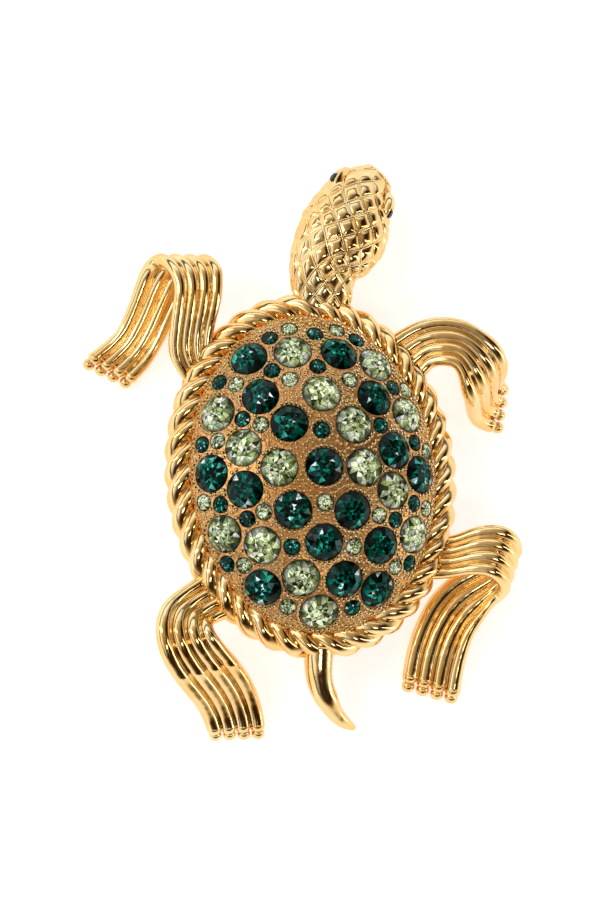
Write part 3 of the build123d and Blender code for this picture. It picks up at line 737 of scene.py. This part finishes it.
def stone_cut():
    """A round cut stone of radius one, as triangles: a flat table that shows the pavilion's shards
    as smaller triangles, stars, kites and girdle facets, a thin girdle and a pointed pavilion."""
    crown, edge, deep = 0.34, 0.03, 0.62
    eighth = math.pi / 8
    table_corners = polygon(0.56, 8, 0, crown)
    table_sides = (table_corners + np.roll(table_corners, -1, 0)) / 2
    rings = [
        [(0.04, -0.03, crown)],
        polygon(0.17, 8, 0.12, crown),
        polygon(0.35, 8, eighth + 0.06, crown),
        np.stack([table_corners, table_sides], 1).reshape(-1, 3),
        polygon(0.78, 8, eighth, 0.58 * crown),
        polygon(1.0, 16, 0, edge),
        polygon(1.0, 16, 0, -edge),
        [(0, 0, -deep)],
    ]
    start = np.concatenate([[0], np.cumsum([len(ring) for ring in rings])])
    inner, shard, rim, kite, girdle, lower, culet = start[1:8]
    i, k = np.arange(8), np.arange(16)
    j, n = (i + 1) % 8, (k + 1) % 16
    corner, side, after = rim + 2 * i, rim + 2 * i + 1, rim + 2 * j
    facets = [
        (0, inner + i, inner + j),
        (inner + i, shard + i, inner + j),
        (shard + i, shard + j, inner + j),
        (corner, side, shard + i),
        (side, after, shard + i),
        (after, shard + j, shard + i),
        (corner, kite + i, side),
        (side, kite + i, after),
        (corner, kite + (i - 1) % 8, girdle + 2 * i),
        (corner, girdle + 2 * i, kite + i),
        (kite + i, girdle + 2 * i, girdle + 2 * i + 1),
        (kite + i, girdle + 2 * i + 1, girdle + (2 * i + 2) % 16),
        (girdle + k, lower + k, lower + n),
        (girdle + k, lower + n, girdle + n),
        (lower + k, culet, lower + n),
    ]
    return np.concatenate(rings), np.concatenate([triples(*corners) for corners in facets])


FACET_SPREAD, STONE_SPREAD = (0.75, 1.25), (0.8, 1.2)  # least and most shade
FACET_SEED, EYE_SEED = 7, 3
STONE_TURN = 2.4  # radians from each stone to the next
RIM_FROM, RIM_PAINTED_SHADE = 0.99, 0.12  # share of a stone's radius where the painted shade of its seat begins, and how far it darkens


def facet_colours(stones, facets, colours, seed):
    """A colour for each facet of each stone, drawn by the shares in a table of colours, and a
    little lighter or darker from facet to facet and from stone to stone."""
    draw = np.random.default_rng(seed)
    table = np.array(colours)
    pick = draw.choice(len(table), (stones, facets), p=table[:, 0] / table[:, 0].sum())
    shade = draw.uniform(*FACET_SPREAD, (stones, facets, 1))
    shade = shade * draw.uniform(*STONE_SPREAD, (stones, 1, 1))
    return np.clip(table[pick, 1:] * shade, 0, 1)


def stones_form(place, axes, radius, sink, crown=1.0):
    """Cut stones of one size, each turned a little differently about its own axis."""
    form = Form()
    local, faces = stone_cut()
    x, y, z = local.T
    turn = STONE_TURN * np.arange(len(place))[:, None]
    cos, sin = np.cos(turn), np.sin(turn)
    turned = triples(x * cos - y * sin, x * sin + y * cos, np.where(z > 0, crown, 1) * z)
    scatter(form, place, axes, radius * turned - (0, 0, sink), [faces])
    return form


# Finishes


class Value:
    """A shader output that takes part in Python expressions."""

    def __init__(self, shader, socket):
        self.shader = shader
        self.socket = socket

    def maths(self, operation, *values):
        return self.shader.make("ShaderNodeMath", {"operation": operation}, dict(enumerate(values)))

    def __add__(self, other):
        return self.maths("ADD", self, other)

    def __sub__(self, other):
        return self.maths("SUBTRACT", self, other)

    def __rsub__(self, other):
        return self.maths("SUBTRACT", other, self)

    def __mul__(self, other):
        return self.maths("MULTIPLY", self, other)

    def clamp(self):
        """The value, but no less than 0 and no more than 1."""
        return self.maths("MINIMUM", self.maths("MAXIMUM", self, 0.0), 1.0)

    __radd__ = __add__
    __rmul__ = __mul__


class Shader:
    """A node tree whose nodes all come from one method."""

    def __init__(self, tree):
        self.tree = tree
        self.tree.nodes.clear()

    def make(self, kind, settings=None, inputs=None, output=0):
        """Makes a node, sets its settings, then the values or links of its sockets."""
        node = self.tree.nodes.new(kind)
        for name, value in (settings or {}).items():
            if name == "stops":
                ramp = node.color_ramp
                while len(ramp.elements) < len(value):
                    ramp.elements.new(1.0)
                for element, (position, colour) in zip(ramp.elements, value):
                    element.position = position
                    element.color = (*colour, 1.0)
            else:
                setattr(node, name, value)
        for name, value in (inputs or {}).items():
            socket = node.inputs[name]
            if isinstance(value, Value):
                self.tree.links.new(value.socket, socket)
            elif socket.type == "RGBA":
                socket.default_value = (*value[:3], 1.0)
            else:
                socket.default_value = value
        return Value(self, node.outputs[output]) if len(node.outputs) else node

    def mix(self, factor, a, b):
        """Colour a where the factor is 0 and b where it is 1."""
        return self.make("ShaderNodeMix", {"data_type": "RGBA"}, {0: factor, 6: a, 7: b}, 2)

    def noise(self, where, scale, detail):
        """Noise round 0.5, scale in features for each metre."""
        return self.make("ShaderNodeTexNoise", {},
                         {"Vector": where, "Scale": scale, "Detail": detail}, "Fac")

    def bump(self, height):
        """Normal of a surface that is raised by a height in metres."""
        return self.make("ShaderNodeBump", {},
                         {"Strength": 1.0, "Distance": 1.0, "Height": height}, "Normal")


def finish(name):
    """A new material and its empty shader."""
    material = bpy.data.materials.new(name)
    material.use_nodes = True
    return material, Shader(material.node_tree)


def surface(shader, inputs):
    """Ends a material in a Principled surface."""
    body = shader.make("ShaderNodeBsdfPrincipled", {}, inputs, "BSDF")
    shader.make("ShaderNodeOutputMaterial", {}, {"Surface": body})


# Noise in the metal: (features in a metre, detail)
CLOUDS, RIPPLES, GRAIN, LUMPS = (210.0, 3.0), (620.0, 1.0), (5200.0, 2.0), (2600.0, 1.0)
CLOUDS_FROM, LUMPS_FROM, TINT_SLOPE = 0.38, 0.32, 3.0  # where the pale tint begins, and how fast; on the plate the darker tint below it is painted shade in the hollows
CLOUD_GLOSS = 0.08
LUMP_HEIGHT = 0.06 * MM
POLISHED = (0.1, 0.06 * MM, 0.001 * MM)  # roughness, ripple and grain
WORN = (0.13, 0.0, 0.0)


def gilt_finish(name, colour, deep, roughness, ripple, grain):
    """Gilded metal: its colour and gloss vary in soft clouds, and its surface ripples slightly."""
    material, shader = finish(name)
    where = shader.make("ShaderNodeTexCoord", output="Object")
    cloud, waves, fine = (shader.noise(where, *kind) for kind in (CLOUDS, RIPPLES, GRAIN))
    surface(shader, {
        "Base Color": shader.mix(((cloud - CLOUDS_FROM) * TINT_SLOPE).clamp(), deep, colour),
        "Metallic": 1.0, "Roughness": roughness + cloud * CLOUD_GLOSS,
        "Normal": shader.bump(waves * ripple + fine * grain),
    })
    return material


def grained_finish(name, colour, deep):
    """Gilded metal that was left rough: fine lumps, with painted shade in the hollows between them.
    """
    material, shader = finish(name)
    where = shader.make("ShaderNodeTexCoord", output="Object")
    lumps = shader.noise(where, *LUMPS)
    surface(shader, {
        "Base Color": shader.mix(((lumps - LUMPS_FROM) * TINT_SLOPE).clamp(), deep, colour),
        "Metallic": 1.0, "Roughness": 0.36, "Normal": shader.bump(lumps * LUMP_HEIGHT),
    })
    return material


PAINTED_GLOW = 0.35  # painted glow: the stone gives off light of its own colour, standing in for light that foil would throw back through it
# The shards are painted reflections of the pavilion's facets
SHARDS = 950.0  # shards that a metre holds
SHARD_EDGE = 15.0  # how fast a shard's dark edge ends
SHARD_SPREAD, SHARD_LEAST = 1.5, 0.2  # how much the shards differ in light, and their least


def jewel_finish(name):
    """Cut glass over foil, painted. Each facet has its own colour, and over it lie painted
    reflections of the facets below, the shards: cells that are lighter and darker, with dark edges.
    The colour also shines out as a painted glow."""
    material, shader = finish(name)
    where = shader.make("ShaderNodeTexCoord", output="Object")
    facet = shader.make("ShaderNodeAttribute", {"attribute_name": "facet"}, {}, "Color")
    shard = shader.make("ShaderNodeTexVoronoi", {}, {"Vector": where, "Scale": SHARDS}, "Color")
    edge = shader.make("ShaderNodeTexVoronoi", {"feature": "DISTANCE_TO_EDGE"},
                       {"Vector": where, "Scale": SHARDS}, "Distance")
    lit = (edge * SHARD_EDGE).clamp() * (shard * SHARD_SPREAD + SHARD_LEAST)
    colour = shader.mix(lit.clamp(), (0.0, 0.0, 0.0), facet)
    surface(shader, {
        "Base Color": colour, "Roughness": 0.05, "IOR": 1.25,
        "Emission Color": colour, "Emission Strength": PAINTED_GLOW,
    })
    return material


# Making pieces


def brooch():
    """The brooch's settings in the scene."""
    return bpy.context.scene.turtle_sizes, bpy.context.scene.turtle_colours


def put(name, data):
    """Puts data into the scene as an object."""
    thing = bpy.data.objects.new(name, data)
    bpy.context.collection.objects.link(thing)
    return thing


def piece(name, form, material, nodes=("turtle_frame",), shade_smooth=True):
    """Makes a form into an object of the brooch that stands for the given solids."""
    mesh = form.mesh(name)
    mesh.polygons.foreach_set("use_smooth", [shade_smooth] * len(mesh.polygons))
    mesh.materials.append(material)
    thing = put(name, mesh)
    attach(thing, BODY)
    if nodes:
        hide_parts(*nodes)
    return thing


def cover(node, material):
    """Gives a solid that is kept its finish."""
    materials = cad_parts[node].data.materials
    materials.clear()
    materials.append(material)


def paint_facets(mesh, colours):
    """Writes one colour for each triangle to a mesh of stones as an attribute, and paints shade at
    the girdle and below it, for the shadow in the seat round each stone."""
    x, y, z = stone_cut()[0].T
    # painted shade: the girdle and the pavilion are darkened for the shadow in the stone's seat
    shade = np.where((np.hypot(x, y) > RIM_FROM) | (z < 0), RIM_PAINTED_SHADE, 1.0)
    corners = np.empty(len(mesh.loops), int)
    mesh.loops.foreach_get("vertex_index", corners)
    full = np.ones((len(corners), 4))
    full[:, :3] = np.repeat(colours, 3, 0) * shade[corners % len(shade)][:, None]
    attribute = mesh.color_attributes.new("facet", "FLOAT_COLOR", "CORNER")
    attribute.data.foreach_set("color", full.ravel())


def stones_piece(name, setting, facets, seed, nodes):
    """Makes stones in their setting into a piece and paints their facets."""
    form = stones_form(*setting)
    thing = piece(name, form, jewel_finish(name), nodes, shade_smooth=False)
    stones = len(setting[0])
    colours = facet_colours(stones, len(form.faces) // stones, facets, seed)
    paint_facets(thing.data, colours.reshape(-1, 3))


def polished(name):
    """The polished gilt of the casting."""
    colours = brooch()[1]
    return gilt_finish(name, colours.gilt, colours.gilt_deep, *POLISHED)


class MakeRope(bpy.types.Operator):
    """Twisted rope border round the shell"""

    bl_idname = "turtle.rope"
    bl_label = "Rope border"

    def execute(self, context):
        sizes = brooch()[0]
        form = Form()
        rings = rope_rings(sizes.rope_radius, sizes.strand_radius)
        form.add(rings, [ring_faces(*rings.shape[:2], loop=True)])
        piece("rope_border", form, polished("rope gilt"))
        return {"FINISHED"}


class MakeLegs(bpy.types.Operator):
    """Four ribbed legs with ball toes"""

    bl_idname = "turtle.legs"
    bl_label = "Legs"

    def execute(self, context):
        gilt = polished("leg gilt")
        for name, table in LEGS.items():
            piece(f"leg_{name}", leg_form(table, brooch()[0].rib_fullness), gilt)
        return {"FINISHED"}


class MakeHead(bpy.types.Operator):
    """Head with a net of raised scales, and a collar round each eye"""

    bl_idname = "turtle.head"
    bl_label = "Head"

    def execute(self, context):
        form = head_form(brooch()[0].scale_relief)
        for side in (-1, 1):
            eyelid(form, *eye_frame(side))
        piece("head", form, polished("head gilt"))
        return {"FINISHED"}


class MakeTail(bpy.types.Operator):
    """Smooth claw-shaped tail"""

    bl_idname = "turtle.tail"
    bl_label = "Tail"

    def execute(self, context):
        piece("tail", tail_form(), polished("tail gilt"))
        return {"FINISHED"}


class MakePlate(bpy.types.Operator):
    """Finish of the shell plate, and the grain beads on it"""

    bl_idname = "turtle.plate"
    bl_label = "Shell plate and beads"

    def execute(self, context):
        sizes, colours = brooch()
        # painted shade: the plate's darker gilding stands for the shadow between the beads and
        # their lumps
        cover("shell_plate", grained_finish("plate gilt", colours.plate, colours.plate_painted_shade))
        # painted highlight: the beads take the lighter, lit copy of the gilding
        beads = gilt_finish("bead gilt", colours.bead, colours.gilt, *WORN)
        form = beads_form(sizes.bead_radius, sizes.bead_pitch)
        piece("grain_beads", form, beads, nodes=())
        return {"FINISHED"}


class MakeStones(bpy.types.Operator):
    """Round cut stones of two colours and two sizes"""

    bl_idname = "turtle.stones"
    bl_label = "Stones"

    def execute(self, context):
        groups = [
            ("emerald", "", EMERALDS, LARGE_RADIUS, EMERALD_FACETS),
            ("peridot", "", PERIDOTS, LARGE_RADIUS, PERIDOT_FACETS),
            ("emerald", "_small", SMALL_EMERALDS, SMALL_RADIUS, EMERALD_FACETS),
            ("peridot", "_small", SMALL_PERIDOTS, SMALL_RADIUS, PERIDOT_FACETS),
        ]
        for seed, (kind, size, table, radius, facets) in enumerate(groups, FACET_SEED):
            numbered = [f"{kind}_{i:02d}" for i in range(1, len(table) + 1)]
            nodes = [f"small_{kind}s"] if size else numbered
            setting = (*stone_places(table), radius, STONE_SINK)
            stones_piece(f"{kind}s{size}", setting, facets, seed, nodes)
        return {"FINISHED"}


class MakeEyes(bpy.types.Operator):
    """Dark cut stones in the eyes"""

    bl_idname = "turtle.eyes"
    bl_label = "Eyes"

    def execute(self, context):
        for name, side in (("eye_left", -1), ("eye_right", 1)):
            place, axes = eye_frame(side)
            setting = (place[None], axes[None], EYE_RADIUS, EYE_SINK, EYE_CROWN)
            stones_piece(f"{name}_stone", setting, EYE_FACETS, EYE_SEED, [name])
        return {"FINISHED"}


class MakePin(bpy.types.Operator):
    """Finish of the brooch pin at the back"""

    bl_idname = "turtle.pin"
    bl_label = "Pin"

    def execute(self, context):
        cover("brooch_pin", polished("pin gilt"))
        return {"FINISHED"}


# Softboxes: (name, place, width, height, brightness next to a white card in full light)
SOFTBOXES = [
    ("key", (-0.34, 0.10, 0.36), 0.07, 0.34, 4.0),
    ("strip", (0.36, -0.12, 0.22), 0.05, 0.42, 4.0),
    ("top", (0.04, -0.26, 0.46), 0.15, 0.09, 6.0),
]
FLOOR_GLOW = 0.6  # light from under the floor
FLOOR_CORNERS = [(-1.5, -1.5, 0), (1.5, -1.5, 0), (1.5, 1.5, 0), (-1.5, 1.5, 0)]

# The room from its horizon up to its zenith: (height of the direction, brightness)
LIT_SIDE = [
    (0.00, 1.40), (0.30, 1.15), (0.35, 0.05), (0.47, 0.0), (0.51, 1.5), (0.66, 1.3), (0.84, 0.60),
    (1.00, 0.45),
]
DARK_SIDE = [(0.00, 1.20), (0.28, 0.90), (0.42, 0.25), (0.56, 0.02), (0.90, 0.02), (1.00, 0.45)]
LIT_TOWARDS = (-0.80, 0.60, 0.0)
LIT_FROM, LIT_SLOPE = -0.25, 1.8  # where the lit side begins along that direction, and how fast
ROOM_PATCHES = (1.3, 0.0)  # noise that makes the room's bands uneven: (features, detail)
UNEVENNESS = 0.10
WARMTH = (0.95, 1.2, 1.7)  # powers that turn brightness into red, green and blue
ROOM_SCALE = 3.0


def softbox(name, place, width, height, radiance):
    """Rectangular light that faces the brooch; its power is its radiance times pi and its area."""
    light = bpy.data.lights.new(name, "AREA")
    light.shape = "RECTANGLE"
    light.size, light.size_y = width, height
    light.energy = radiance * math.pi * width * height
    turn = (-Vector(place)).to_track_quat("-Z", "Y").to_matrix().to_4x4()
    put(name, light).matrix_world = Matrix.Translation(place) @ turn


class MakeStage(bpy.types.Operator):
    """Pale floor, soft light and the camera"""

    bl_idname = "turtle.stage"
    bl_label = "Stage"

    def execute(self, context):
        mesh = bpy.data.meshes.new("floor")
        mesh.from_pydata(FLOOR_CORNERS, [], [(0, 1, 2, 3)])
        material, shader = finish("floor")
        surface(shader, {
            "Base Color": brooch()[1].floor, "Roughness": 0.6,
            "Emission Color": (1.0, 1.0, 1.0), "Emission Strength": FLOOR_GLOW,
        })
        mesh.materials.append(material)
        put("floor", mesh)

        world = bpy.data.worlds.new("studio")
        context.scene.world = world
        world.use_nodes = True
        sky = Shader(world.node_tree)
        where = sky.make("ShaderNodeTexCoord", output="Generated")

        def towards(direction):
            return sky.make("ShaderNodeVectorMath", {"operation": "DOT_PRODUCT"},
                            {0: where, 1: direction}, "Value")

        height = towards((0, 0, 1)) + (sky.noise(where, *ROOM_PATCHES) - 0.5) * UNEVENNESS

        def side(table):
            stops = [(at, [bright**power / ROOM_SCALE for power in WARMTH]) for at, bright in table]
            return sky.make("ShaderNodeValToRGB", {"stops": stops}, {"Fac": height}, "Color")

        lit = ((towards(LIT_TOWARDS) - LIT_FROM) * LIT_SLOPE).clamp()
        room = sky.make("ShaderNodeBackground", {}, {
            "Color": sky.mix(lit, side(DARK_SIDE), side(LIT_SIDE)), "Strength": ROOM_SCALE,
        })
        sky.make("ShaderNodeOutputWorld", {}, {"Surface": room})
        for box in SOFTBOXES:
            softbox(*box)
        context.scene.view_settings.view_transform = "Standard"

        camera = bpy.data.cameras.new("camera")
        camera.sensor_fit = "HORIZONTAL"
        camera.lens = camera.sensor_width * PIXELS_PER_METRE * CAMERA_DISTANCE / PICTURE[0]
        context.scene.camera = put("camera", camera)
        context.scene.camera.matrix_world = camera_place()
        return {"FINISHED"}


# Camera, read from the photograph: where the shell's middle is, and how its outward axis leans
PICTURE = (604, 906)
PIXELS_PER_METRE = 1 / (0.1395 * MM)
CAMERA_DISTANCE = 0.6
RING_PIXEL = (311.0, 476.0)
LEAN_RIGHT = 8.4  # degrees, as the next two
LEAN_UP = 8.2
ROLL = 4.5


def camera_place():
    """The camera's matrix in the brooch's frame: the outward axis leans by the sines of two angles,
    and the shell's middle lies at the camera's distance under its pixel."""
    right, up, roll = map(math.radians, (LEAN_RIGHT, LEAN_UP, ROLL))
    x, y = math.sin(right), math.sin(up)
    out = np.array([x, y, math.sqrt(1 - x**2 - y**2)])
    ahead = np.array([-math.sin(roll), math.cos(roll), 0])
    ahead = unit(ahead - out * (ahead @ out))
    body = np.stack([np.cross(ahead, out), ahead, out], 1)
    across, down = (np.array(RING_PIXEL) - np.array(PICTURE) / 2) / PIXELS_PER_METRE
    place = (SHELL_X, SHELL_Y, RING_HEIGHT) + body.T @ (-across, down, CAMERA_DISTANCE)
    return Matrix.Translation(place.tolist()) @ Matrix(body.T.tolist()).to_4x4()


OPERATORS = (
    MakeRope, MakeLegs, MakeHead, MakeTail, MakePlate, MakeStones, MakeEyes, MakePin, MakeStage,
)


class TurtlePanel(bpy.types.Panel):
    """Lists the pieces and their settings"""

    bl_idname = "VIEW3D_PT_turtle"
    bl_label = "Turtle brooch"
    bl_space_type = "VIEW_3D"
    bl_region_type = "UI"
    bl_category = "Turtle"

    def draw(self, context):
        for operator in OPERATORS:
            self.layout.operator(operator.bl_idname)
        for settings in brooch():
            for name in settings.__annotations__:
                self.layout.prop(settings, name)


CLASSES = (TurtleSizes, TurtleColours, *OPERATORS, TurtlePanel)


def register():
    for cls in CLASSES:
        bpy.utils.register_class(cls)
    bpy.types.Scene.turtle_sizes = PointerProperty(type=TurtleSizes)
    bpy.types.Scene.turtle_colours = PointerProperty(type=TurtleColours)


def unregister():
    del bpy.types.Scene.turtle_sizes
    del bpy.types.Scene.turtle_colours
    for cls in reversed(CLASSES):
        bpy.utils.unregister_class(cls)


def main():
    register()
    bpy.ops.turtle.rope()
    bpy.ops.turtle.legs()
    bpy.ops.turtle.head()
    bpy.ops.turtle.tail()
    bpy.ops.turtle.plate()
    bpy.ops.turtle.stones()
    bpy.ops.turtle.eyes()
    bpy.ops.turtle.pin()
    bpy.ops.turtle.stage()


if __name__ == "__main__":
    main()
